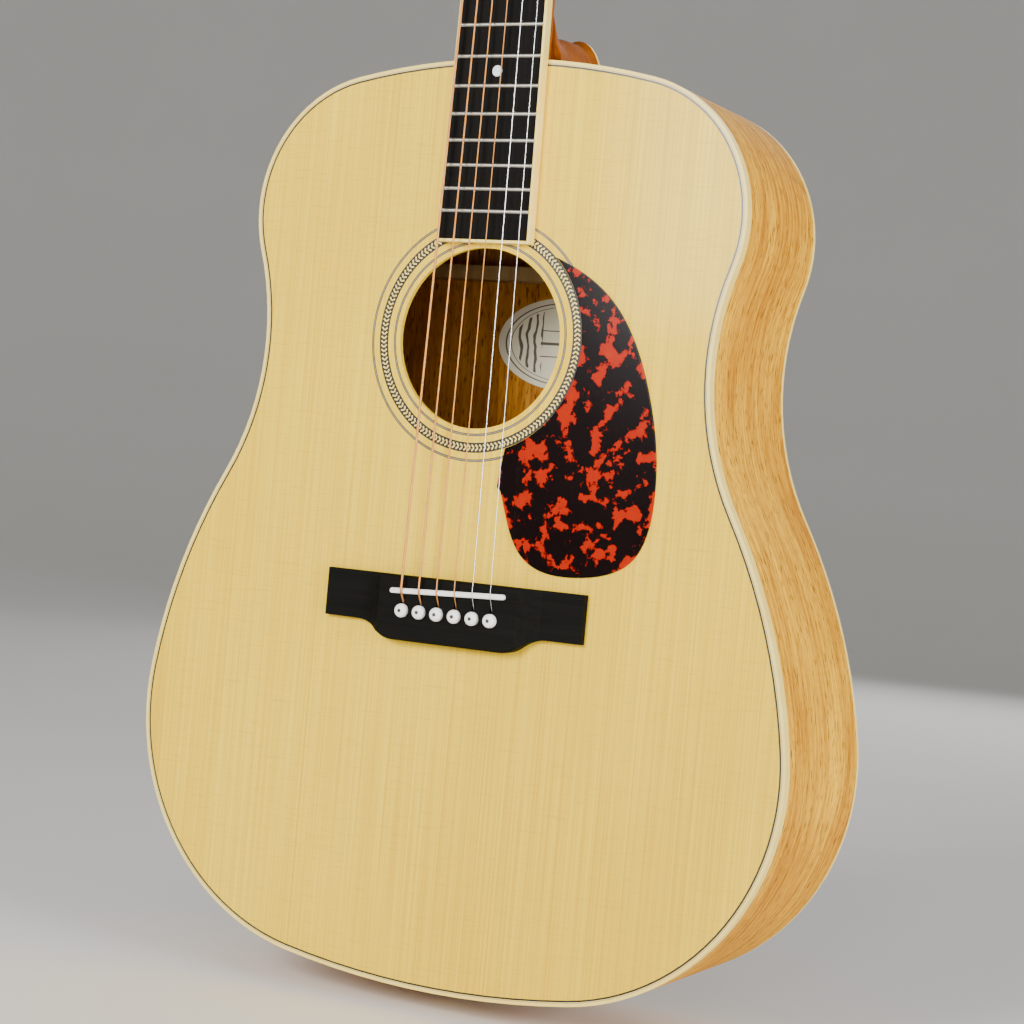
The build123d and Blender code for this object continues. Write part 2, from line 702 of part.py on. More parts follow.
def make_neck(cuts):
    shaft = loft([neck_section(BODY_LENGTH - 4, NECK_T_JOINT), neck_section(HEAD_Z, NECK_T_NUT)])
    heel = loft([heel_section(*station) for station in HEEL_STATIONS])
    head = HEAD_PLANE * extrude(head_outline(), -HEAD_T)
    throat = loft([
        neck_section(HEAD_Z - 34, NECK_T_NUT), neck_section(HEAD_Z - 2, NECK_T_NUT + 4.5),
        neck_section(HEAD_Z + 8, NECK_T_NUT + 2.0),
    ])
    ahead = block((-100, 100), (-90, 0), (BODY_LENGTH, HEAD_Z + 40))
    behind_face = HEAD_PLANE * Pos(0, 60, -50) * Box(200, 260, 100)
    neck = (shaft + heel - neck_seat()) + make_tenon() + head + ((throat & ahead) & behind_face)
    return neck - cuts


def make_heel_cap():
    depth, length, share = HEEL_STATIONS[-1]
    section = heel_section(depth, length, share)
    return extrude(section, HEEL_CAP_T, dir=(0, 1, 0)) - neck_seat()


def board_strip(z_low, z_high, inset):
    """The tapered outline of the fretboard between two places."""
    low = fretboard_half(z_low) - inset
    high = fretboard_half(z_high) - inset
    return make_face(Polyline((-low, z_low), (low, z_low), (high, z_high), (-high, z_high), close=True))


def make_frets():
    frets = []
    for number in range(1, FRET_COUNT + 1):
        z = fret_z(number)
        half = fretboard_half(z + FRET_W / 2) - BOARD_BIND_W
        base = Line((-FRET_W / 2, 0), (FRET_W / 2, 0))
        crown = ThreePointArc((FRET_W / 2, 0), (0, FRET_H), (-FRET_W / 2, 0))
        plane = Plane(origin=(-half, FRONT_Y - BOARD_T, z), x_dir=(0, 0, 1), z_dir=(1, 0, 0))
        bead = extrude(plane * make_face([base, crown]), 2 * half)
        tang = block((-half, half), (BOARD_T - TANG_D, BOARD_T), (z - TANG_W / 2, z + TANG_W / 2))
        frets.append(bead + tang)
    return frets


def make_dots():
    spots = []
    for number in (3, 5, 7, 9, 12, 15):
        z = (fret_z(number) + fret_z(number - 1)) / 2
        places = (-9.5, 9.5) if number == 12 else (0,)
        spots += [slab(Pos(x, z) * Circle(DOT_R), BOARD_T, BOARD_T - DOT_T) for x in places]
    return spots


def make_fretboard(frets, dots):
    wood = slab(board_strip(BOARD_END_Z + BOARD_BIND_W, NUT_Z, BOARD_BIND_W), BOARD_T, 0)
    binding = slab(board_strip(BOARD_END_Z, NUT_Z, 0), BOARD_T, 0) - wood
    for piece in frets + dots:
        wood -= piece
    return wood, binding


def make_nut(cutters):
    half = NUT_WIDTH / 2
    blank = block((-half, half), (0, NUT_H), (NUT_Z, NUT_Z + NUT_L))
    blank = fillet(blank.faces().sort_by(Axis.Y)[0].edges().filter_by(Axis.X), 1.2)
    for cutter in cutters:
        blank -= cutter
    return blank


def make_truss_rod():
    y = FRONT_Y + ROD_DROP
    low = BODY_LENGTH - SIDE_T - NECK_BLOCK_L - ROD_NUT_L - 3
    thread_top = low + ROD_NUT_L + 3
    thread = rod((0, y, low), (0, y, thread_top), ROD_THREAD_R)
    bar = rod((0, y, thread_top), (0, y, NUT_Z - 14), ROD_R)
    nut_face = Plane(origin=(0, y, low + 2), z_dir=(0, 0, 1)) * RegularPolygon(ROD_NUT_AF / 2, 6, False)
    nut = extrude(nut_face, ROD_NUT_L - 1) - rod((0, y, low), (0, y, thread_top), ROD_THREAD_R + RUN_FIT)
    return thread + bar, nut


def rod_channel():
    low = BODY_LENGTH - SIDE_T - NECK_BLOCK_L - 2
    half = ROD_SLOT_W / 2
    depth = -ROD_DROP - ROD_SLOT_W / 2
    slot = block((-half, half), (depth, 0), (BODY_LENGTH - SIDE_T - TENON_L - 1, NUT_Z - 13))
    bore = rod((0, FRONT_Y + ROD_DROP, low), (0, FRONT_Y + ROD_DROP, NUT_Z - 13), ROD_SLOT_W / 2)
    return slot, bore


def neck_bolts():
    """Two bolts from inside the neck block into the tenon, with washers under their heads."""
    low = BODY_LENGTH - SIDE_T - NECK_BLOCK_L
    bolts = []
    for drop in (30.0, 58.0):
        y = FRONT_Y + drop
        shank = rod((0, y, low - 1), (0, y, BODY_LENGTH + 12), 3.0)
        head = rod((0, y, low - 6), (0, y, low), 6.0)
        bolts.append(shank + head)
    return bolts


# ---- tuning machines, drawn for the treble side: post on Z, knob towards +X ----
CENTER_DISTANCE = GEAR_PITCH_R + WORM_PITCH_R
WORM_PITCH = math.pi * GEAR_MODULE
BACK_FACE = -HEAD_T
CASE_LEFT = -GEAR_TIP_R - CASE_GAP - CASE_WALL
CASE_RIGHT = GEAR_TIP_R + CASE_GAP + CASE_WALL + 1.0
CASE_LOW = -GEAR_TIP_R - CASE_GAP - CASE_WALL
CASE_HIGH = CENTER_DISTANCE + WORM_TIP_R + CASE_GAP + CASE_WALL - 0.8
EAR_Y = CASE_LOW - 3.0
GEAR_Z = BACK_FACE - GEAR_DEPTH
KNOB_START = KNOB_REACH - 12.0


def tooth(root_r, tip_r, root_t, tip_t):
    return make_face(Polyline(
        (root_r - 0.3, -root_t / 2), (tip_r, -tip_t / 2), (tip_r, tip_t / 2), (root_r - 0.3, root_t / 2),
        close=True,
    ))


def make_gear():
    """The gear, with a gap between teeth on its side towards the worm."""
    shape = Circle(GEAR_ROOT_R)
    step = 360 / GEAR_TEETH
    for number in range(GEAR_TEETH):
        turn = Rot(0, 0, 90 + (number + 0.5) * step)
        shape += turn * tooth(GEAR_ROOT_R, GEAR_TIP_R, TOOTH_ROOT_T, TOOTH_TIP_T)
    body = extrude(Pos(0, 0, GEAR_Z - GEAR_FACE / 2) * shape, GEAR_FACE)
    return body


def make_post(string):
    radius = STRING_R[string]
    top = VENEER_T + POST_H
    foot = GEAR_Z - GEAR_FACE / 2 - 1.2
    gear = make_gear() - rod((0, 0, foot), (0, 0, top), POST_R - 0.6)
    post = rod((0, 0, BACK_FACE - 1.5), (0, 0, top), POST_R)
    post += rod((0, 0, foot), (0, 0, BACK_FACE - 1), POST_R - 0.6)
    post = chamfer(post.faces().sort_by(Axis.Z)[-1].edges(), 0.6)
    level = VENEER_T + COLLAR_T + COIL_FLOOR - COIL_H / 2
    post -= rod((-POST_R - 1, 0, level), (POST_R + 1, 0, level), 0.9)
    low = level - COIL_H / 2
    coil = extrude(Pos(0, 0, low) * (Circle(POST_R + 2 * radius) - Circle(POST_R)), COIL_H)
    return [post, gear, coil]


def make_worm_shaft():
    """The worm, its shaft, the knob and the knob's end screw, along +X at the origin."""
    length = WORM_TURNS * WORM_PITCH
    helix = Helix(pitch=WORM_PITCH, height=length, radius=WORM_CORE_R, direction=(0, 0, 1))
    profile = Plane(origin=(WORM_CORE_R, 0, 0), x_dir=(1, 0, 0), z_dir=(0, 1, 0))
    depth = WORM_TIP_R - WORM_CORE_R
    thread_face = make_face(Polyline(
        (-0.25, -TOOTH_ROOT_T / 2), (depth, -TOOTH_TIP_T / 2), (depth, TOOTH_TIP_T / 2),
        (-0.25, TOOTH_ROOT_T / 2), close=True,
    ))
    thread = sweep(profile * thread_face, path=helix, is_frenet=True)
    inner_end = CASE_RIGHT - CASE_WALL - 0.5
    core = rod((0, 0, CASE_LEFT - 0.2), (0, 0, inner_end), WORM_CORE_R)
    shaft = rod((0, 0, inner_end), (0, 0, KNOB_START), SHAFT_R)
    return Rot(0, 0, 90) * Pos(0, 0, -length / 2) * thread + core + shaft


def make_knob():
    """The oval knob on its collar, with the screw that holds it on the shaft."""
    oval = Pos(0, 0, KNOB_START + 2.5) * Rot(0, 0, 90) * SlotOverall(KNOB_L, KNOB_T)
    blank = extrude(oval, KNOB_W)
    blank = fillet(blank.faces().filter_by(Axis.Z).edges(), KNOB_T / 2 - 1.0)
    collar = rod((0, 0, KNOB_START), (0, 0, KNOB_START + 3.4), 3.2)
    screw = rod((0, 0, KNOB_START + 2.5 + KNOB_W), (0, 0, KNOB_START + 3.3 + KNOB_W), 1.6)
    return [blank + collar, screw]


def worm_frame():
    """From the shaft drawn along +Z to its place beside the gear, along +X."""
    return Pos(0, CENTER_DISTANCE, GEAR_Z) * Rot(0, 90, 0)


def make_housing():
    """The case behind the headstock: a cup over gear and worm, with a boss and a screw ear."""
    width = CASE_RIGHT - CASE_LEFT
    height = CASE_HIGH - CASE_LOW
    middle = Pos((CASE_LEFT + CASE_RIGHT) / 2, (CASE_LOW + CASE_HIGH) / 2, BACK_FACE)
    outer = middle * Pos(0, 0, -CASE_DEPTH / 2) * Box(width, height, CASE_DEPTH)
    outer = fillet(outer.edges().filter_by(Axis.Z), 3.0)
    outer = fillet(outer.faces().sort_by(Axis.Z)[0].edges(), 1.4)
    room = CASE_DEPTH - CASE_WALL
    inner = Box(width - 2 * CASE_WALL, height - 2 * CASE_WALL, room)
    inner = middle * Pos(0, 0, -room / 2) * inner
    axis = (CENTER_DISTANCE, GEAR_Z)
    boss = rod((CASE_RIGHT - 0.5, *axis), (CASE_RIGHT + 2.5, *axis), 3.4)
    bore = rod((CASE_RIGHT - CASE_WALL - 1, *axis), (CASE_RIGHT + 3, *axis), SHAFT_R + RUN_FIT)
    journal = rod((CASE_LEFT - 1, *axis), (CASE_LEFT + CASE_WALL + 1, *axis), WORM_CORE_R + RUN_FIT)
    ear = Pos(0, EAR_Y + 0.4, BACK_FACE - 1) * Box(7, 7.5, 2)
    ear = fillet(ear.edges().filter_by(Axis.Z).sort_by(Axis.Y)[:2], 3.0)
    hole = rod((0, EAR_Y, BACK_FACE + 1), (0, EAR_Y, BACK_FACE - 3), SCREW_R)
    return outer + boss + ear - inner - bore - journal - hole


def make_tuner_screw():
    head = rod((0, EAR_Y, BACK_FACE - 3.2), (0, EAR_Y, BACK_FACE - 2), SCREW_HEAD_R)
    shank = rod((0, EAR_Y, BACK_FACE - 2), (0, EAR_Y, BACK_FACE - 2 + SCREW_L), SCREW_R)
    return head + shank


def make_bushing():
    sleeve = rod((0, 0, BACK_FACE + 2), (0, 0, VENEER_T), SLEEVE_R)
    collar = rod((0, 0, VENEER_T), (0, 0, VENEER_T + COLLAR_T), COLLAR_R)
    collar = chamfer(collar.faces().sort_by(Axis.Z)[-1].edges(), 0.6)
    return sleeve + collar - rod((0, 0, BACK_FACE), (0, 0, VENEER_T + 5), POST_R + RUN_FIT)


def head_holes():
    """Everything the tuning machines need cut out of the headstock."""
    cuts = []
    for string in range(6):
        side, along = post_place(string)
        spot = HEAD_PLANE * Pos(side * POST_X, along, 0)
        cuts.append(spot * rod((0, 0, -HEAD_T - 1), (0, 0, VENEER_T + 1), SLEEVE_R))
        pilot = rod((0, EAR_Y, BACK_FACE - 1), (0, EAR_Y, BACK_FACE - 2 + SCREW_L), SCREW_R)
        cuts.append(spot * pilot)
    return Compound(children=[cut.solid() for cut in cuts])


def place_tuner(piece, string):
    """Put a piece drawn for the treble side at its post, mirrored on the bass side."""
    side, along = post_place(string)
    handed = piece if side > 0 else mirror(piece, about=Plane.YZ)
    return HEAD_PLANE * Pos(side * POST_X, along, 0) * handed


def make_strap_button():
    half = Polyline(
        (0, 0), (BUTTON_R - 0.6, 0), (BUTTON_R - 1.0, -2.0), (BUTTON_NECK_R, -4.2),
        (BUTTON_NECK_R, -8.0), (BUTTON_R, -BUTTON_L + 2.2), (BUTTON_R - 1.2, -BUTTON_L), (0, -BUTTON_L),
        close=True,
    )
    face = make_face(half)
    knob = revolve(Plane.XZ * face, axis=Axis.Z)
    peg = rod((0, 0, -1), (0, 0, SIDE_T + TAIL_BLOCK_L - 2), 3.5)
    return knob + peg


# ---- assembly ----
def save(name, *shapes):
    export_step(parts_list(*shapes), f"parts/{name}.step")


def build_body(tenon, rod_bore, bolts, holes):
    top_binding, purfling, back_binding = make_bindings()
    button = make_strap_button()
    wedge = make_tail_wedge()
    bass, treble, graft = make_sides(top_binding, wedge, tenon)
    bolt_cuts = Compound(children=[bolt.solid() for bolt in bolts])
    neck_block, tail_block = make_blocks(tenon, rod_bore, bolt_cuts, button)
    top_lining, back_lining = make_linings([neck_block, tail_block])
    rosette = make_rosette()
    save("soundboard", make_soundboard(rosette, holes))
    save("back", make_back())
    save("side_bass", bass - button)
    save("side_treble", treble - button)
    save("tail_wedge", graft - button)
    save("top_binding", top_binding)
    save("top_purfling", purfling)
    save("back_binding", back_binding)
    save("neck_block", neck_block)
    save("tail_block", tail_block)
    save("top_lining", top_lining)
    save("back_lining", back_lining)
    save("x_braces", make_x_braces())
    save("top_braces", make_top_braces())
    save("bridge_plate", make_bridge_plate(holes))
    save("back_braces", *make_back_braces())
    save("label", make_label())
    save("rosette", rosette)
    save("pickguard", make_pickguard())
    save("strap_button", button)
    save("neck_bolts", *bolts)


def build_neck(tubes, rod_slot, rod_bore, bolts):
    cuts = [rod_slot, rod_bore, head_holes(), *bolts]
    neck = make_neck(cuts)
    frets = make_frets()
    dots = make_dots()
    wood, binding = make_fretboard(frets, dots)
    truss_rod, truss_nut = make_truss_rod()
    veneer = HEAD_PLANE * extrude(head_outline(), VENEER_T)
    save("neck", neck)
    save("heel_cap", make_heel_cap())
    save("headstock_veneer", veneer - head_holes())
    save("fretboard", wood)
    save("fretboard_binding", binding)
    save("frets", *frets)
    save("fret_dots", *dots)
    save("nut", make_nut(tubes))
    save("truss_rod", truss_rod)
    save("truss_rod_nut", truss_nut)


def build_strings(tubes, holes):
    save("bridge", make_bridge(holes))
    save("saddle", make_saddle(tubes))
    for string in range(6):
        save(f"string_{6 - string}", make_string(string))
        save(f"bridge_pin_{6 - string}", make_pin(string))


def build_tuners():
    housings = []
    bushings = []
    screws = []
    shaft = worm_frame() * make_worm_shaft()
    knob = [worm_frame() * piece for piece in make_knob()]
    for string in range(6):
        number = 6 - string
        housings.append(place_tuner(make_housing(), string))
        bushings.append(place_tuner(make_bushing(), string))
        screws.append(place_tuner(make_tuner_screw(), string))
        save(f"tuner_post_{number}", *[place_tuner(piece, string) for piece in make_post(string)])
        save(f"tuner_knob_{number}", *[place_tuner(piece, string) for piece in [shaft, *knob]])
    save("tuner_housings", *housings)
    save("tuner_bushings", *bushings)
    save("tuner_screws", *screws)


def main():
    os.makedirs("parts", exist_ok=True)
    tenon = make_tenon()
    rod_slot, rod_bore = rod_channel()
    bolts = neck_bolts()
    holes = pin_holes()
    tubes = [string_cutter(string) for string in range(6)]
    build_body(tenon, rod_bore, bolts, holes)
    build_neck(tubes, rod_slot, rod_bore, bolts)
    build_strings(tubes, holes)
    build_tuners()


main()
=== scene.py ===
# %% [markdown]
# # Dressing a steel-string guitar
# The measured parts arrive finished in shape. This lesson gives them wood, bone, metal and tortoise
# finishes, and adds the fine inlay that is easier to draw here than to model as solids.

import json
import math

import bmesh
import bpy
from mathutils import Matrix, Vector


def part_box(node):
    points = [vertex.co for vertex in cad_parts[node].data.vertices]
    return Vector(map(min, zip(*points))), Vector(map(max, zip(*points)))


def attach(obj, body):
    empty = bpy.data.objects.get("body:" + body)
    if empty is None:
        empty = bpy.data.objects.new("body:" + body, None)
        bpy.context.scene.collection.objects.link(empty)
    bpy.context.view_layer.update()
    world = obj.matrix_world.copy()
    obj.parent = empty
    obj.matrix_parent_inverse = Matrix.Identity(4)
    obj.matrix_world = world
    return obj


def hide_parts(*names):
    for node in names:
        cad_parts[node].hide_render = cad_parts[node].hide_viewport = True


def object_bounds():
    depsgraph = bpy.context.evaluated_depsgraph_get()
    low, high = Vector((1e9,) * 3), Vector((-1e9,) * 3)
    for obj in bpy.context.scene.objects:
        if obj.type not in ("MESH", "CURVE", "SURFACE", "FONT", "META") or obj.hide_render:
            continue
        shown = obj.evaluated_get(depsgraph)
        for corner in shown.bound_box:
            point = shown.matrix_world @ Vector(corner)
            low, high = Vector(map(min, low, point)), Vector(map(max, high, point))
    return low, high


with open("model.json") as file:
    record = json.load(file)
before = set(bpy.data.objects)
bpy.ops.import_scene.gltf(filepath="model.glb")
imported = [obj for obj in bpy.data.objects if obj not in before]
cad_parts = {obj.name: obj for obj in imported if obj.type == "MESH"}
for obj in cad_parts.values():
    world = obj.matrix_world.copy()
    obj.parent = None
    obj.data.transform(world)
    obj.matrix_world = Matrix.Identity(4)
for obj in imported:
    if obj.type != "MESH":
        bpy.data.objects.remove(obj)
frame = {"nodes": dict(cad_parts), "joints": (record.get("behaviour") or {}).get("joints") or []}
nodes = frame["nodes"]
cad_box = [list(corner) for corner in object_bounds()]
print("guitar box", cad_box)

# %% [markdown]
# ## The camera
# A long lens set towards the treble side shows the whole top and, foreshortened, the side wood.
# A guitar on a stand leans a little, so the camera is rolled instead of the guitar.

# %% Camera
FOCAL_LENGTH, SENSOR_WIDTH = 81.13, 36.0
CAMERA_AT = Vector((0.6059, -1.1682, 0.2792))
YAW, PITCH, ROLL = math.radians(-27.501), math.radians(-0.603), math.radians(5.137)
ahead = Vector((math.sin(YAW) * math.cos(PITCH), math.cos(YAW) * math.cos(PITCH), math.sin(PITCH)))
level = Vector((math.cos(YAW), -math.sin(YAW), 0.0))
over = level.cross(ahead)
across = level * math.cos(ROLL) + over * math.sin(ROLL)
upward = over * math.cos(ROLL) - level * math.sin(ROLL)
camera = bpy.data.objects.new("camera", bpy.data.cameras.new("camera"))
camera.data.sensor_width = SENSOR_WIDTH
camera.data.lens = FOCAL_LENGTH
turned = Matrix((across, upward, -ahead)).transposed().to_4x4()
camera.matrix_world = Matrix.Translation(CAMERA_AT) @ turned
bpy.context.scene.collection.objects.link(camera)
bpy.context.scene.camera = camera
print("camera looks", [round(value, 3) for value in ahead])

# %% [markdown]
# ## Shader building
# A material is a small network. Two helpers keep each one to a few readable lines: `add` makes a
# node and wires it, and `start_group` opens a shared effect with named inputs and outputs.

# %% Helpers for node networks
def add(tree, kind, wires=None, **settings):
    node = tree.nodes.new(kind)
    for setting, value in settings.items():
        setattr(node, setting, value)
    for socket, value in (wires or {}).items():
        if isinstance(value, bpy.types.NodeSocket):
            tree.links.new(value, node.inputs[socket])
        else:
            node.inputs[socket].default_value = value
    return node


def start_group(name, kind, takes, gives):
    group = bpy.data.node_groups.new(name, kind)
    for label, socket_type, value in takes:
        socket = group.interface.new_socket(label, in_out="INPUT", socket_type=socket_type)
        if value is not None:
            socket.default_value = value
    for label, socket_type in gives:
        group.interface.new_socket(label, in_out="OUTPUT", socket_type=socket_type)
    return group, group.nodes.new("NodeGroupInput"), group.nodes.new("NodeGroupOutput")


def blend_colours(tree, factor, first, second):
    mix = add(tree, "ShaderNodeMix", {0: factor, 6: first, 7: second}, data_type="RGBA")
    return mix.outputs[2]


# %% [markdown]
# ## Wood figure, a shared effect
# Every wood is noise pulled long in the direction the tree grew. Spruce, mahogany, ebony and maple
# differ only in how far it is stretched, in two colours, and in their pores, so one group serves
# all.

# %% Shared wood figure
VECTOR, COLOUR, NUMBER = "NodeSocketVector", "NodeSocketColor", "NodeSocketFloat"
figure, taken, given = start_group(
    "wood figure", "ShaderNodeTree",
    [("Place", VECTOR, None), ("Stretch", VECTOR, (1, 1, 1)), ("Light", COLOUR, None),
     ("Dark", COLOUR, None), ("Pore Stretch", VECTOR, (1, 1, 1)), ("Pore Share", NUMBER, 0.5),
     ("Cloud Stretch", VECTOR, (1, 1, 1)), ("Cloud Share", NUMBER, 0.3)],
    [("Color", COLOUR), ("Height", NUMBER)],
)


def stretched_noise(tree, place, stretch, detail, low, high):
    moved = add(tree, "ShaderNodeVectorMath", {0: place, 1: stretch}, operation="MULTIPLY")
    noise = add(tree, "ShaderNodeTexNoise",
                {"Vector": moved.outputs[0], "Scale": 1.0, "Detail": detail})
    span = {"Value": noise.outputs[0], "From Min": low, "From Max": high}
    return add(tree, "ShaderNodeMapRange", span).outputs[0]


def combine(tree, first, second, operation="MULTIPLY"):
    return add(tree, "ShaderNodeMath", {0: first, 1: second}, operation=operation).outputs[0]


RING_SHARE = 0.6
PORE_DARKNESS = 0.55
PORE_FILLER = (0.02, 0.01, 0.005, 1)
place = taken.outputs["Place"]
rings = stretched_noise(figure, place, taken.outputs["Stretch"], detail=4.0, low=0.3, high=0.7)
pores = stretched_noise(figure, place, taken.outputs["Pore Stretch"],
                        detail=2.0, low=0.56, high=0.7)
clouds = stretched_noise(figure, place, taken.outputs["Cloud Stretch"],
                         detail=3.0, low=0.3, high=0.7)
cloudy = combine(figure, clouds, taken.outputs["Cloud Share"])
ringed = combine(figure, rings, RING_SHARE)
shade = combine(figure, cloudy, ringed, "ADD")
plain = blend_colours(figure, shade, taken.outputs["Light"], taken.outputs["Dark"])
pored = combine(figure, pores, taken.outputs["Pore Share"])
deep = blend_colours(figure, PORE_DARKNESS, taken.outputs["Dark"], PORE_FILLER)
figure.links.new(blend_colours(figure, pored, plain, deep), given.inputs["Color"])
figure.links.new(combine(figure, rings, pored, "SUBTRACT"), given.inputs["Height"])
print("shared effect:", figure.name)

# %% [markdown]
# ## Handling marks, a shared effect
# Lacquer, plastic and plate are never evenly shiny: hands leave soft patches. This group varies
# roughness about a middle value.

# %% Shared handling marks
handling, taken, given = start_group(
    "handling marks", "ShaderNodeTree",
    [("Place", VECTOR, None), ("Middle", NUMBER, 0.3), ("Spread", NUMBER, 0.1),
     ("Size", NUMBER, 30.0)],
    [("Roughness", NUMBER), ("Mask", NUMBER)],
)
smear = add(handling, "ShaderNodeTexNoise",
            {"Vector": taken.outputs["Place"], "Scale": taken.outputs["Size"], "Detail": 5.0})
centred = combine(handling, smear.outputs[0], 0.5, "SUBTRACT")
spread = combine(handling, centred, taken.outputs["Spread"])
about_middle = combine(handling, spread, taken.outputs["Middle"], "ADD")
handling.links.new(about_middle, given.inputs["Roughness"])
handling.links.new(smear.outputs[0], given.inputs["Mask"])
print("shared effect:", handling.name)


# %% [markdown]
# ## How every material starts
# Each finish starts the same way: a shader, a place to read patterns from, and the handling marks
# on its roughness. Object coordinates keep a pattern still when its part moves.

# %% Start a material
def start_material(name, middle, spread=0.1, size=30.0, **constants):
    material = bpy.data.materials.new(name)
    material.use_nodes = True
    tree = material.node_tree
    shader = tree.nodes["Principled BSDF"]
    for socket, value in constants.items():
        shader.inputs[socket.replace("_", " ")].default_value = value
    spot = add(tree, "ShaderNodeTexCoord").outputs["Object"]
    marks = add(tree, "ShaderNodeGroup", node_tree=handling)
    tree.links.new(spot, marks.inputs["Place"])
    for socket, value in (("Middle", middle), ("Spread", spread), ("Size", size)):
        marks.inputs[socket].default_value = value
    tree.links.new(marks.outputs["Roughness"], shader.inputs["Roughness"])
    return material, tree, shader, spot, marks


BUMP_STRENGTH = 0.6


def raise_grain(tree, shader, height, depth):
    bump = add(tree, "ShaderNodeBump",
               {"Height": height, "Distance": depth, "Strength": BUMP_STRENGTH})
    tree.links.new(bump.outputs[0], shader.inputs["Normal"])


# %% [markdown]
# ## The woods
# The spruce top has lines a millimetre or two apart along the strings and a faint silk across them.
# On the bent sides the grain follows the bend, so it is tight from front to back only.

# %% Woods
def wood(name, light, dark, stretch, pore, pore_share, cloud, cloud_share, middle, depth, coat,
         shine=0.3):
    constants = {"Coat_Weight": coat, "Coat_Roughness": 0.12, "Specular_IOR_Level": shine}
    material, tree, shader, spot, _ = start_material(name, middle, **constants)
    grain = add(tree, "ShaderNodeGroup", node_tree=figure)
    tree.links.new(spot, grain.inputs["Place"])
    values = {"Stretch": stretch, "Light": light, "Dark": dark, "Pore Stretch": pore,
              "Pore Share": pore_share, "Cloud Stretch": cloud, "Cloud Share": cloud_share}
    for socket, value in values.items():
        grain.inputs[socket].default_value = value
    tree.links.new(grain.outputs["Color"], shader.inputs["Base Color"])
    raise_grain(tree, shader, grain.outputs["Height"], depth)
    return material


spruce = wood("spruce top", (0.93, 0.65, 0.035, 1), (0.66, 0.37, 0.006, 1), (900, 900, 5),
              (60, 60, 1100), 0.14, (10, 10, 3), 0.34, 0.46, 0.00003, 0.16, 0.10)
side_wood = wood("bent mahogany", (0.98, 0.53, 0.018, 1), (0.36, 0.10, 0.002, 1), (22, 330, 22),
                 (150, 900, 150), 1.0, (6, 34, 6), 0.46, 0.58, 0.00008, 0.0, 0.06)
back_wood = wood("back mahogany", (0.62, 0.28, 0.018, 1), (0.27, 0.075, 0.003, 1), (330, 330, 18),
                 (900, 900, 130), 1.0, (26, 26, 4), 0.44, 0.52, 0.00008, 0.0, 0.12)
neck_wood = wood("neck mahogany", (0.40, 0.11, 0.002, 1), (0.20, 0.042, 0.0006, 1), (240, 240, 6),
                 (800, 800, 60), 0.45, (20, 20, 4), 0.30, 0.62, 0.00005, 0.0, 0.03)
brace_wood = wood("brace spruce", (0.40, 0.27, 0.10, 1), (0.26, 0.15, 0.05, 1), (300, 300, 40),
                  (60, 60, 500), 0.08, (20, 20, 6), 0.30, 0.60, 0.00004, 0.0)
block_wood = wood("lining cedar", (0.55, 0.36, 0.18, 1), (0.36, 0.20, 0.09, 1), (220, 220, 30),
                  (500, 500, 60), 0.25, (20, 20, 6), 0.30, 0.62, 0.00004, 0.0)
board_ebony = wood("fretboard ebony", (0.008, 0.0072, 0.0062, 1), (0.003, 0.0026, 0.0022, 1),
                   (420, 420, 8), (900, 900, 40), 0.40, (40, 40, 6), 0.35, 0.58, 0.00003, 0.0, 0.04)
bridge_ebony = wood("bridge ebony", (0.0072, 0.0072, 0.0060, 1), (0.003, 0.003, 0.0024, 1),
                    (8, 420, 420), (40, 900, 900), 0.45, (6, 40, 40), 0.35, 0.58, 0.00004, 0.0, 0.04)
maple = wood("binding maple", (0.94, 0.74, 0.20, 1), (0.86, 0.60, 0.11, 1), (40, 40, 40),
             (120, 400, 120), 0.06, (8, 8, 8), 0.30, 0.42, 0.00001, 0.10)
bone = wood("polished bone", (0.96, 0.95, 0.90, 1), (0.90, 0.87, 0.78, 1), (90, 600, 600),
            (400, 400, 400), 0.04, (60, 60, 60), 0.30, 0.26, 0.00001, 0.2)
black_line = wood("dyed line", (0.020, 0.018, 0.016, 1), (0.008, 0.007, 0.006, 1), (200, 200, 200),
                  (500, 500, 500), 0.20, (20, 20, 20), 0.30, 0.38, 0.00001, 0.3)
grey_line = wood("grey line", (0.30, 0.26, 0.19, 1), (0.20, 0.16, 0.11, 1), (200, 200, 200),
                 (500, 500, 500), 0.15, (20, 20, 20), 0.30, 0.38, 0.00001, 0.3)
print("woods made:", 12)

# %% [markdown]
# ## Metals
# Fret wire and plate are bright and lightly scratched. A wound string is a steel core wrapped in
# bronze thread about a third of a millimetre thick, which reads as fine ribs along its length.

# %% Metals
def metal(name, light, dark, middle, scratch, rib=0.0):
    material, tree, shader, spot, marks = start_material(name, middle, 0.16, 60.0, Metallic=1.0)
    tint = blend_colours(tree, marks.outputs["Mask"], light, dark)
    tree.links.new(tint, shader.inputs["Base Color"])
    if rib:
        turns = add(tree, "ShaderNodeTexWave", {"Vector": spot, "Scale": 2 * math.pi / 20 / rib},
                    bands_direction="Z")
        raise_grain(tree, shader, turns.outputs["Fac"], 0.00006)
    else:
        rubbed = stretched_noise(tree, spot, scratch, 3.0, 0.4, 0.6)
        raise_grain(tree, shader, rubbed, 0.000004)
    return material


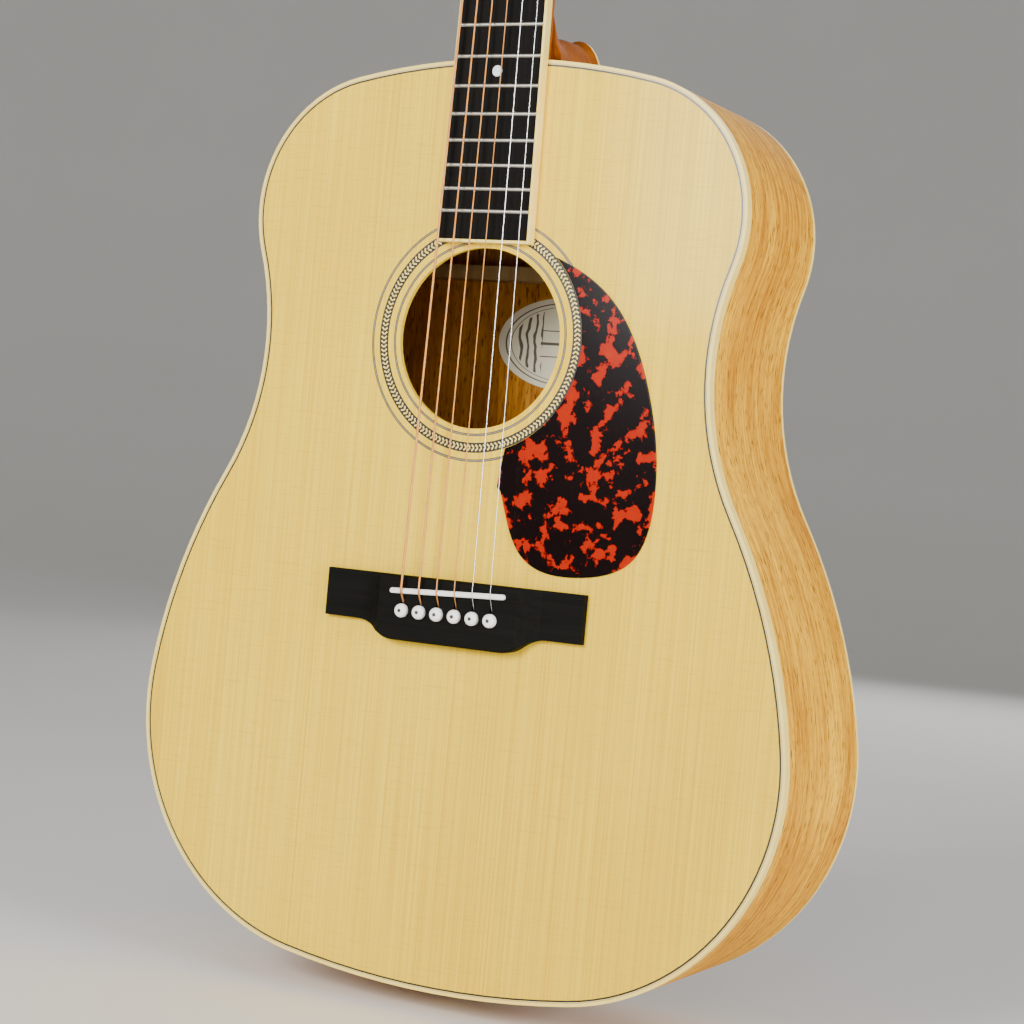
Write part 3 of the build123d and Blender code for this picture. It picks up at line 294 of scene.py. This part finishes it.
fret_metal = metal("nickel silver", (0.50, 0.48, 0.42, 1), (0.38, 0.36, 0.30, 1), 0.34,
                   (40, 2000, 2000))
plate_metal = metal("chrome plate", (0.86, 0.86, 0.87, 1), (0.72, 0.72, 0.74, 1), 0.16,
                    (300, 300, 300))
rod_metal = metal("rod steel", (0.46, 0.46, 0.47, 1), (0.32, 0.31, 0.30, 1), 0.42, (900, 900, 30))
wire_metal = metal("plain wire", (0.88, 0.87, 0.85, 1), (0.74, 0.73, 0.70, 1), 0.26, (900, 900, 60))
WRAP_THREAD = 0.00035
wound_metal = metal("wound bronze", (0.76, 0.36, 0.12, 1), (0.50, 0.20, 0.06, 1), 0.36, None,
                    WRAP_THREAD)
print("metals made:", 5)

# %% [markdown]
# ## Tortoise, pearl, paper and plastic
# The pickguard is a sheet with red clouds frozen in black. Noise that is pushed about by its own
# distortion, then cut at a threshold, gives ragged islands with darker rims.

# %% Tortoise pickguard material
tortoise, tree, shader, spot, _ = start_material("tortoise sheet", 0.18, 0.05,
                                                 Specular_IOR_Level=0.12)
clouds = add(tree, "ShaderNodeTexNoise", {"Vector": spot, "Scale": 95.0, "Detail": 5.0,
                                          "Roughness": 0.58, "Distortion": 0.15})
steps = add(tree, "ShaderNodeValToRGB", {"Fac": clouds.outputs[0]})
for position, colour in ((0.535, (0.04, 0.0006, 0.0002, 1)), (0.545, (0.30, 0.006, 0.0003, 1)),
                         (0.560, (0.34, 0.012, 0.0003, 1))):
    steps.color_ramp.elements.new(position).color = colour
steps.color_ramp.elements[0].color = (0.004, 0.001, 0.001, 1)
steps.color_ramp.elements[0].position = 0.520
steps.color_ramp.elements[-1].color = (0.42, 0.026, 0.0006, 1)
tree.links.new(steps.outputs[0], shader.inputs["Base Color"])
print("tortoise colour steps:", len(steps.color_ramp.elements))

# %% [markdown]
# ## Pearl, button plastic and paper
# Pearl and moulded plastic are built from small cells, so one Voronoi pattern serves both. The label
# is printed line art: an oval measured from its own middle carries the borders, rules and a sprig.

# %% Pearl and button plastic
def speckled(name, light, dark, size, middle, **constants):
    material, tree, shader, spot, _ = start_material(name, middle, 0.08, **constants)
    cells = add(tree, "ShaderNodeTexVoronoi", {"Vector": spot, "Scale": size})
    tint = blend_colours(tree, cells.outputs["Distance"], light, dark)
    tree.links.new(tint, shader.inputs["Base Color"])
    raise_grain(tree, shader, cells.outputs["Distance"], 0.00001)
    return material


pearl = speckled("pearl", (0.90, 0.91, 0.88, 1), (0.62, 0.72, 0.74, 1), 500.0, 0.18,
                 Coat_Weight=0.5)
button = speckled("black button", (0.030, 0.028, 0.026, 1), (0.012, 0.011, 0.010, 1), 400.0, 0.28)
print("pearl and button made")

# %% Label paper
label_low, label_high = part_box("label")
label_mid = (label_low + label_high) / 2
paper, tree, shader, spot, marks = start_material("label paper", 0.7, 0.1)
from_middle = add(tree, "ShaderNodeVectorMath", {0: spot, 1: label_mid}, operation="SUBTRACT")
half = (label_high - label_low) / 2
unit = add(tree, "ShaderNodeVectorMath",
           {0: from_middle.outputs[0], 1: (1 / half.x, 0, 1 / half.z)}, operation="MULTIPLY")
reach = add(tree, "ShaderNodeVectorMath", {0: unit.outputs[0]}, operation="LENGTH").outputs["Value"]


def band(tree, value, middle, half_width):
    away = combine(tree, value, middle, "SUBTRACT")
    size = add(tree, "ShaderNodeMath", {0: away}, operation="ABSOLUTE").outputs[0]
    return combine(tree, size, half_width, "LESS_THAN")


parts = add(tree, "ShaderNodeSeparateXYZ", {0: unit.outputs[0]})
THICK_BORDER, THIN_BORDER = (0.88, 0.012), (0.80, 0.006)
border = combine(tree, band(tree, reach, *THICK_BORDER), band(tree, reach, *THIN_BORDER), "MAXIMUM")
ruled = band(tree, parts.outputs[2], 0.0, 0.03)
for offset in (-0.28, 0.28):
    ruled = combine(tree, ruled, band(tree, parts.outputs[2], offset, 0.012), "MAXIMUM")
ruled = combine(tree, ruled, band(tree, parts.outputs[0], 0.1, 0.45))
sprig = add(tree, "ShaderNodeTexWave",
            {"Vector": spot, "Scale": 60.0, "Distortion": 6.0, "Detail": 2.0})
leaf = combine(tree, sprig.outputs["Fac"], 0.72, "GREATER_THAN")
leaf = combine(tree, leaf, band(tree, parts.outputs[0], -0.52, 0.2))
leaf = combine(tree, leaf, combine(tree, reach, 0.76, "LESS_THAN"))
ink = combine(tree, combine(tree, border, ruled, "MAXIMUM"), leaf, "MAXIMUM")
aged = blend_colours(tree, marks.outputs["Mask"], (0.80, 0.75, 0.56, 1), (0.66, 0.60, 0.40, 1))
tree.links.new(blend_colours(tree, ink, aged, (0.10, 0.08, 0.05, 1)), shader.inputs["Base Color"])
print("label paper made")

# %% [markdown]
# ## Dress the measured parts
# A measured part keeps its mesh. Only the material in its slot changes.

# %% Give each measured part its finish
finishes = {
    "soundboard": spruce, "back": back_wood, "side_bass": side_wood, "side_treble": side_wood,
    "tail_wedge": maple, "top_binding": maple, "top_purfling": black_line, "back_binding": maple,
    "neck_block": block_wood, "tail_block": block_wood, "top_lining": block_wood,
    "back_lining": block_wood, "x_braces": brace_wood, "top_braces": brace_wood,
    "bridge_plate": maple, "back_braces": brace_wood, "label": paper, "rosette": black_line,
    "pickguard": tortoise, "strap_button": button, "neck_bolts": rod_metal, "neck": neck_wood,
    "heel_cap": maple, "headstock_veneer": board_ebony, "fretboard": board_ebony,
    "fretboard_binding": maple, "frets": fret_metal, "fret_dots": pearl, "nut": bone,
    "truss_rod": rod_metal, "truss_rod_nut": rod_metal, "bridge": bridge_ebony, "saddle": bone,
    "tuner_housings": plate_metal, "tuner_bushings": plate_metal, "tuner_screws": plate_metal,
}
for number in range(1, 7):
    finishes[f"bridge_pin_{number}"] = bone
    finishes[f"string_{number}"] = wire_metal if number < 3 else wound_metal
    finishes[f"tuner_post_{number}"] = plate_metal
    finishes[f"tuner_knob_{number}"] = plate_metal
for name, material in finishes.items():
    nodes[name].data.materials.clear()
    nodes[name].data.materials.append(material)
print("dressed", len(finishes), "of", len(nodes), "measured parts")


# %% [markdown]
# ## Inlay lines
# Purfling and rosette lines are strips of dyed wood let into the top. Each is a closed ring with a
# rectangular section, made from an outer and an inner outline.

# %% Rings from two outlines
def ring_faces(mesh, outer, inner, front, back, slot):
    loops = []
    for outline, depth in ((outer, front), (inner, front), (inner, back), (outer, back)):
        loops.append([mesh.verts.new((x, depth, z)) for x, z in outline])
    count = len(outer)
    for one, two in zip(loops, loops[1:] + loops[:1]):
        for k in range(count):
            n = (k + 1) % count
            mesh.faces.new((one[k], one[n], two[n], two[k])).material_index = slot


def finish_mesh(mesh, name, materials, slot, body="root"):
    bmesh.ops.recalc_face_normals(mesh, faces=mesh.faces)
    data = bpy.data.meshes.new(name)
    mesh.to_mesh(data)
    mesh.free()
    for material in materials:
        data.materials.append(material)
    piece = bpy.data.objects.new(name, data)
    bpy.context.scene.collection.objects.link(piece)
    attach(piece, body)
    print(name, len(data.polygons), "faces")
    return piece


def merged_copy(node):
    mesh = bmesh.new()
    mesh.from_mesh(nodes[node].data)
    bmesh.ops.remove_doubles(mesh, verts=mesh.verts, dist=1e-6)
    return mesh


# %% [markdown]
# ## Purfling
# The outline is read off the measured purfling strip. Its longest front edge is the outer one.

# %% Purfling lines
def front_outline(node):
    mesh = merged_copy(node)
    front = min(v.co.y for v in mesh.verts)
    flat = {f for f in mesh.faces if all(v.co.y < front + 1e-5 for v in f.verts)}
    rim = {}
    for edge in mesh.edges:
        if sum(f in flat for f in edge.link_faces) == 1:
            for one, two in (edge.verts, reversed(edge.verts)):
                rim.setdefault(one.index, []).append(two.index)
    mesh.verts.ensure_lookup_table()
    loops = []
    while rim:
        start = next(iter(rim))
        loop, step = [start], rim[start][0]
        while step != start:
            ahead_of = [v for v in rim[step] if v != loop[-1]]
            loop.append(step)
            step = ahead_of[0]
        for v in loop:
            rim.pop(v)
        loops.append([(mesh.verts[v].co.x, mesh.verts[v].co.z) for v in loop])
    mesh.free()
    return max(loops, key=lambda loop: sum(math.dist(a, b) for a, b in zip(loop, loop[1:]))), front


def even_points(loop, count):
    closed = loop + loop[:1]
    lengths = [0.0]
    for a, b in zip(closed, closed[1:]):
        lengths.append(lengths[-1] + math.dist(a, b))
    points, k = [], 0
    for i in range(count):
        want = lengths[-1] * i / count
        while lengths[k + 1] < want:
            k += 1
        share = (want - lengths[k]) / (lengths[k + 1] - lengths[k])
        points.append(tuple(p + (q - p) * share for p, q in zip(closed[k], closed[k + 1])))
    return points


def moved_in(points, inset):
    count = len(points)
    area = sum(points[k - 1][0] * points[k][1] - points[k][0] * points[k - 1][1]
               for k in range(count))
    sign = 1 if area > 0 else -1
    result = []
    for k in range(count):
        dx = points[(k + 1) % count][0] - points[k - 1][0]
        dz = points[(k + 1) % count][1] - points[k - 1][1]
        size = math.hypot(dx, dz) * sign
        result.append((points[k][0] - dz / size * inset, points[k][1] + dx / size * inset))
    return result


outline, front_y = front_outline("top_purfling")
PURFLING_POINTS = 900
outline = even_points(outline, PURFLING_POINTS)
PURFLING_DEPTH = 0.0014
PURFLING_LINES = ((0.0, 0.0003, 1), (0.0003, 0.0006, 2), (0.0006, 0.0016, 0))
lines = bmesh.new()
for near, far, slot in PURFLING_LINES:
    ring_faces(lines, moved_in(outline, near), moved_in(outline, far),
               front_y, front_y + PURFLING_DEPTH, slot)
purfling = finish_mesh(lines, "purfling_lines", [black_line, grey_line, maple], "purfling")
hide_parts("top_purfling")

# %% [markdown]
# ## Rosette
# Two fine lines with grey cores frame a wide black band that carries the rope. Each ring is given
# by its inner and outer distance from the soundhole's edge, and by its colour.

# %% Rosette rings
ROSETTE_DEPTH = 0.0012
ROSETTE_RINGS = ((0.0027, 0.0031, 0), (0.0031, 0.0037, 1), (0.0037, 0.0041, 0), (0.0077, 0.0132, 0),
                 (0.0168, 0.0172, 0), (0.0172, 0.0178, 1), (0.0178, 0.0182, 0))
last_ring_reach = ROSETTE_RINGS[-1][1]
rosette_low, rosette_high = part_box("rosette")
HOLE_RADIUS = (rosette_high.x - rosette_low.x) / 2 - last_ring_reach
HOLE_HEIGHT = (rosette_low.z + rosette_high.z) / 2


def circle(radius, count=240):
    turns = [2 * math.pi * k / count for k in range(count)]
    return [(radius * math.cos(t), HOLE_HEIGHT + radius * math.sin(t)) for t in turns]


rings_mesh = bmesh.new()
for near, far, slot in ROSETTE_RINGS:
    ring_faces(rings_mesh, circle(HOLE_RADIUS + far), circle(HOLE_RADIUS + near),
               front_y, front_y + ROSETTE_DEPTH, slot)
rosette = finish_mesh(rings_mesh, "rosette_rings", [black_line, grey_line], "rosette")
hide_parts("rosette")


# %% [markdown]
# ## The rope, with Geometry Nodes
# The rope is two mirrored rows of one slanted chip of maple, all the way round. Points are placed by
# their index, turned to lie across the band, and a chip is instanced on each, so one number changes
# the count.

# %% Grow a mesh from a tree
def grown(name, tree, values):
    seed = bpy.data.objects.new(name, bpy.data.meshes.new(name))
    bpy.context.scene.collection.objects.link(seed)
    growth = seed.modifiers.new("growth", "NODES")
    growth.node_group = tree
    for item in tree.interface.items_tree:
        if item.item_type == "SOCKET" and item.in_out == "INPUT" and item.name in values:
            growth[item.identifier] = values[item.name]
    depsgraph = bpy.context.evaluated_depsgraph_get()
    data = bpy.data.meshes.new_from_object(seed.evaluated_get(depsgraph))
    bpy.data.objects.remove(seed)
    mesh = bmesh.new()
    mesh.from_mesh(data)
    return mesh


# %% Rope tree
rope_tree, taken, given = start_group(
    "rosette rope", "GeometryNodeTree",
    [("Count", "NodeSocketInt", 10), ("Radius", NUMBER, 0.06), ("Slant", NUMBER, 0.6),
     ("Chip", VECTOR, (0.001, 0.001, 0.001)), ("Finish", "NodeSocketMaterial", None)],
    [("Mesh", "NodeSocketGeometry")],
)
index = add(rope_tree, "GeometryNodeInputIndex").outputs[0]
share = combine(rope_tree, index, taken.outputs["Count"], "DIVIDE")
angle = combine(rope_tree, share, 2 * math.pi)
across_ring = add(rope_tree, "ShaderNodeMath", {0: angle}, operation="COSINE").outputs[0]
along_ring = add(rope_tree, "ShaderNodeMath", {0: angle}, operation="SINE").outputs[0]
spot_x = combine(rope_tree, across_ring, taken.outputs["Radius"])
spot_z = combine(rope_tree, along_ring, taken.outputs["Radius"])
spot_at = add(rope_tree, "ShaderNodeCombineXYZ", {0: spot_x, 2: spot_z}).outputs[0]
points = add(rope_tree, "GeometryNodePoints",
             {"Count": taken.outputs["Count"], "Position": spot_at})
lean = combine(rope_tree, taken.outputs["Slant"], angle, "SUBTRACT")
turn = add(rope_tree, "ShaderNodeCombineXYZ", {1: lean}).outputs[0]
chip = add(rope_tree, "GeometryNodeMeshCube", {"Size": taken.outputs["Chip"]})
placed = add(rope_tree, "GeometryNodeInstanceOnPoints",
             {"Points": points.outputs[0], "Instance": chip.outputs[0], "Rotation": turn})
real = add(rope_tree, "GeometryNodeRealizeInstances", {0: placed.outputs[0]})
done = add(rope_tree, "GeometryNodeSetMaterial",
           {0: real.outputs[0], "Material": taken.outputs["Finish"]})
rope_tree.links.new(done.outputs[0], given.inputs[0])
print("rope tree nodes:", len(rope_tree.nodes))

# %% Lay the rope
CHIP_COUNT, CHIP_SLANT = 156, 0.75
CHIP_SIZE = (0.0021, 0.0003, 0.00085)
CHIP_SUNK = 0.00012
for row, offset, slant in (("outer", 0.01135, CHIP_SLANT), ("inner", 0.00955, -CHIP_SLANT)):
    rope = grown(f"rope_{row}", rope_tree, {
        "Count": CHIP_COUNT, "Radius": HOLE_RADIUS + offset, "Slant": slant,
        "Chip": CHIP_SIZE, "Finish": maple})
    bmesh.ops.translate(rope, verts=rope.verts, vec=(0, front_y + CHIP_SUNK, HOLE_HEIGHT))
    finish_mesh(rope, f"rosette_rope_{row}", [maple], "rosette")

# %% [markdown]
# ## Pickguard edge
# A polished sheet has a small rounded edge that catches the light. Its outline is read off the
# measured sheet, and rows of points are stepped in and forward to round the rim.

# %% Pickguard
guard_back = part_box("pickguard")[1].y
guard_edge, guard_front = front_outline("pickguard")
GUARD_POINTS = 520
guard_edge = even_points(guard_edge, GUARD_POINTS)
EDGE_STEPS = ((0.0, 1.0), (0.0, 0.28), (0.00008, 0.12), (0.00022, 0.03), (0.00042, 0.0))
guard = bmesh.new()
rows = []
for inset, share in EDGE_STEPS:
    depth = guard_front + (guard_back - guard_front) * share
    rows.append([guard.verts.new((x, depth, z)) for x, z in moved_in(guard_edge, inset)])
for one, two in zip(rows, rows[1:]):
    for k in range(len(one)):
        n = (k + 1) % len(one)
        guard.faces.new((one[k], one[n], two[n], two[k]))
guard.faces.new(rows[0])
guard.faces.new(rows[-1])
sheet = finish_mesh(guard, "pickguard_sheet", [tortoise], "tortoise")
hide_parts("pickguard")

# %% [markdown]
# ## Pin dots
# Each bridge pin has a black dot let into its head. A dot rides its own pin, so it lifts with it.

# %% Pin dots
DOT_RADIUS, DOT_FLATNESS, DOT_SUNK = 0.0012, 0.25, 0.00015
for number in range(1, 7):
    low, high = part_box(f"bridge_pin_{number}")
    dot = bmesh.new()
    bmesh.ops.create_uvsphere(dot, u_segments=24, v_segments=12, radius=DOT_RADIUS)
    bmesh.ops.scale(dot, vec=(1, DOT_FLATNESS, 1), verts=dot.verts)
    head = ((low.x + high.x) / 2, low.y + DOT_SUNK, (low.z + high.z) / 2)
    bmesh.ops.translate(dot, verts=dot.verts, vec=head)
    for face in dot.faces:
        face.smooth = True
    finish_mesh(dot, f"pin_dot_{number}", [button], "ebony", f"bridge_pin_{number}")

# %% [markdown]
# ## String windings on the posts
# At each post the string is wrapped down in touching turns. The helix is a Geometry Nodes spiral
# whose height and number of turns follow from the wire's thickness.

# %% Winding tree
coil_tree, taken, given = start_group(
    "post winding", "GeometryNodeTree",
    [("Turns", NUMBER, 3.0), ("Radius", NUMBER, 0.003), ("Wire", NUMBER, 0.0003),
     ("Height", NUMBER, 0.003), ("Finish", "NodeSocketMaterial", None)],
    [("Mesh", "NodeSocketGeometry")],
)
spiral = add(coil_tree, "GeometryNodeCurveSpiral", {
    "Resolution": 24, "Rotations": taken.outputs["Turns"], "Start Radius": taken.outputs["Radius"],
    "End Radius": taken.outputs["Radius"], "Height": taken.outputs["Height"]})
section = add(coil_tree, "GeometryNodeCurvePrimitiveCircle",
              {"Resolution": 8, "Radius": taken.outputs["Wire"]})
tube = add(coil_tree, "GeometryNodeCurveToMesh",
           {"Curve": spiral.outputs[0], "Profile Curve": section.outputs[0], "Fill Caps": True})
real = add(coil_tree, "GeometryNodeRealizeInstances", {0: tube.outputs[0]})
done = add(coil_tree, "GeometryNodeSetMaterial",
           {0: real.outputs[0], "Material": taken.outputs["Finish"]})
coil_tree.links.new(done.outputs[0], given.inputs[0])
print("winding tree nodes:", len(coil_tree.nodes))

# %% Wind each post
STRING_RADIUS = {6: 0.000673, 5: 0.000533, 4: 0.000406, 3: 0.000305, 2: 0.000203, 1: 0.000152}
POST_RADIUS = 0.003
COIL_LOOSENESS, WIRE_SWELL = 1.05, 1.02
post_joints = {joint["child"]: joint for joint in frame["joints"]
               if joint["name"].startswith("post_")}


def islands(mesh):
    left = set(mesh.verts)
    while left:
        reached, queue = set(), [next(iter(left))]
        while queue:
            vert = queue.pop()
            if vert in reached:
                continue
            reached.add(vert)
            queue.extend(edge.other_vert(vert) for edge in vert.link_edges)
        left -= reached
        yield reached


for number, wire in STRING_RADIUS.items():
    joint = post_joints[f"tuner_post_{number}"]
    axis = Vector(joint["axis"]).normalized()
    foot = Vector(joint["pos_m"])
    measured = merged_copy(f"tuner_post_{number}")
    coil_reach = POST_RADIUS + 2 * wire
    coil_solid = min(islands(measured), key=lambda group: abs(
        max(((v.co - foot) - axis * (v.co - foot).dot(axis)).length for v in group) - coil_reach))
    heights = [(v.co - foot).dot(axis) for v in coil_solid]
    low, high = min(heights) + wire, max(heights) - wire
    measured.free()
    turns = (high - low) / (2 * wire)
    finish = wire_metal if number < 3 else wound_metal
    coil = grown(f"winding_{number}", coil_tree, {
        "Turns": turns, "Radius": POST_RADIUS + wire * COIL_LOOSENESS, "Wire": wire * WIRE_SWELL,
        "Height": high - low, "Finish": finish})
    tilt = Vector((0, 0, 1)).rotation_difference(axis).to_matrix().to_4x4()
    stand = Matrix.Translation(foot + axis * low) @ tilt
    bmesh.ops.transform(coil, matrix=stand, verts=coil.verts)
    for face in coil.faces:
        face.smooth = True
    slot = "plain_steel" if number < 3 else "bronze"
    finish_mesh(coil, f"post_winding_{number}", [finish], slot, f"tuner_post_{number}")

# %% [markdown]
# ## Floor and light
# A shallow dish makes a floor with no horizon. The key light stands in front, towards the bass side,
# and reaches the label through the soundhole. A second one skims in from the treble side and shows
# the side wood, and two weak ones lift the shadows in front and behind.

# %% Floor
dish = bmesh.new()
floor_level = cad_box[0][2]
profile = [(1.5, 0.0), (3.0, 0.0), (4.0, 0.08), (5.0, 0.5), (5.8, 1.4), (6.2, 2.8), (6.3, 5.0)]
spokes = 96
turns = [2 * math.pi * k / spokes for k in range(spokes)]
rows = [[dish.verts.new((r * math.cos(t), r * math.sin(t), floor_level + h)) for t in turns]
        for r, h in profile]
centre = dish.verts.new((0, 0, floor_level))
for k in range(spokes):
    dish.faces.new((centre, rows[0][k], rows[0][(k + 1) % spokes])).smooth = True
    for one, two in zip(rows, rows[1:]):
        dish.faces.new((one[k], two[k], two[(k + 1) % spokes], one[(k + 1) % spokes])).smooth = True
floor_mesh = bpy.data.meshes.new("floor")
dish.to_mesh(floor_mesh)
dish.free()
floor = bpy.data.objects.new("floor", floor_mesh)
bpy.context.scene.collection.objects.link(floor)
pale, tree, shader, _, marks = start_material("pale floor", 0.8, 0.1, 3.0)
worn = blend_colours(tree, marks.outputs["Mask"], (0.78, 0.77, 0.75, 1), (0.74, 0.73, 0.71, 1))
tree.links.new(worn, shader.inputs["Base Color"])
floor_mesh.materials.append(pale)
print("floor at", floor_level)


# %% Lights
def soft_light(name, place, power, size, target=Vector((0, 0, 0.3))):
    lamp = bpy.data.lights.new(name, "AREA")
    lamp.energy = power
    lamp.size = size
    light = bpy.data.objects.new(name, lamp)
    aim = (target - place).to_track_quat("-Z", "Y").to_matrix().to_4x4()
    light.matrix_world = Matrix.Translation(place) @ aim
    bpy.context.scene.collection.objects.link(light)


LIGHTS = (("key", (-0.35, -1.75, 0.85), 44.0, 0.7), ("treble key", (1.9, -0.5, 0.45), 46.0, 0.8),
          ("front fill", (1.0, -1.9, 0.9), 12.0, 1.0), ("back fill", (-0.4, 2.6, 1.2), 20.0, 1.4))
for name, place, power, width in LIGHTS:
    soft_light(name, Vector(place), power, width)
world = bpy.data.worlds.new("studio")
world.use_nodes = True
sky = world.node_tree.nodes["Background"]
sky.inputs["Color"].default_value = (1.0, 0.985, 0.95, 1)
sky.inputs["Strength"].default_value = 0.30
bpy.context.scene.world = world
print("lights:", len(bpy.data.lights))
